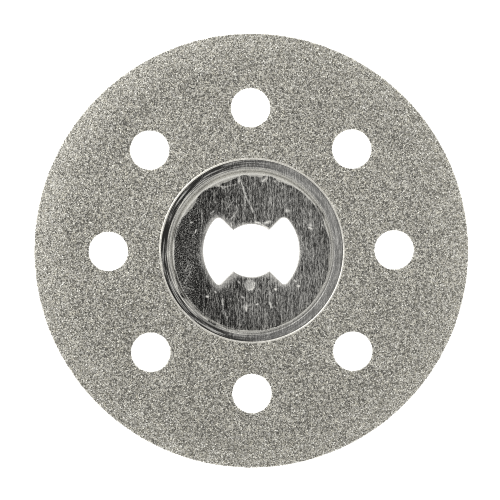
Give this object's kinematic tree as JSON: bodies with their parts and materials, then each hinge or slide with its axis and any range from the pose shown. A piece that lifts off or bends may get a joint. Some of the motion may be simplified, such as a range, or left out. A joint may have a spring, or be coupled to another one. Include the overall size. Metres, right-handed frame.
{
  "type": "diamond cutting disc",
  "caption": "Thin round cutting disc coated with diamond grit, with vent holes and a sunk hub with a bow-tie lock opening, for slotting and cutting hard material with a rotary tool.",
  "frame": {"origin": "on the spindle axis, in the plane of the sunk hub's flat underside, which the disc lies on", "axes": "+Z along the spindle axis, out of the open side of the recess; +X along the long way of the lock opening"},
  "size_m": [0.038, 0.038, 0.0015],
  "materials": {
    "bare_steel": "satin",
    "diamond_grit": "matte"
  },
  "bodies": {
    "root": {"steel_blank": "bare_steel", "diamond_coating": "diamond_grit"}
  },
  "joints": []
}
